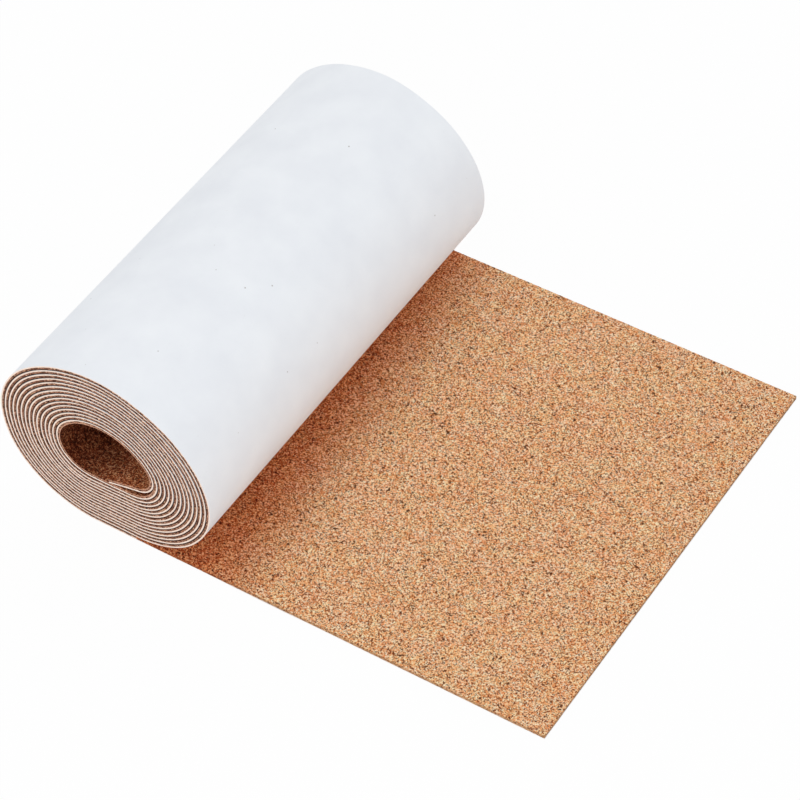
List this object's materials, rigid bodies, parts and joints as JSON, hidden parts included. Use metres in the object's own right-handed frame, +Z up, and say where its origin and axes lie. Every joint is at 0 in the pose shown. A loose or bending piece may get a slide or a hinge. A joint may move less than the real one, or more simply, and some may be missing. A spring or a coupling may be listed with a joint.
{
  "type": "cork roll",
  "caption": "Sagged hollow roll of thin cork sheet with white release paper outside, its last stretch unrolled flat on the floor.",
  "frame": {"origin": "on the floor, under the middle of the roll, at half the roll's width", "axes": "+Z up, Y along the roll's axis, +X from the roll towards the end of the unrolled stretch"},
  "size_m": [0.2477, 0.2, 0.0867],
  "materials": {
    "cork": "matt fine-grained agglomerated cork, tan with dark brown specks",
    "release_paper": "matt white siliconed paper"
  },
  "bodies": {
    "root": {"cork_sheet": "cork", "release_paper": "release_paper"}
  },
  "joints": []
}
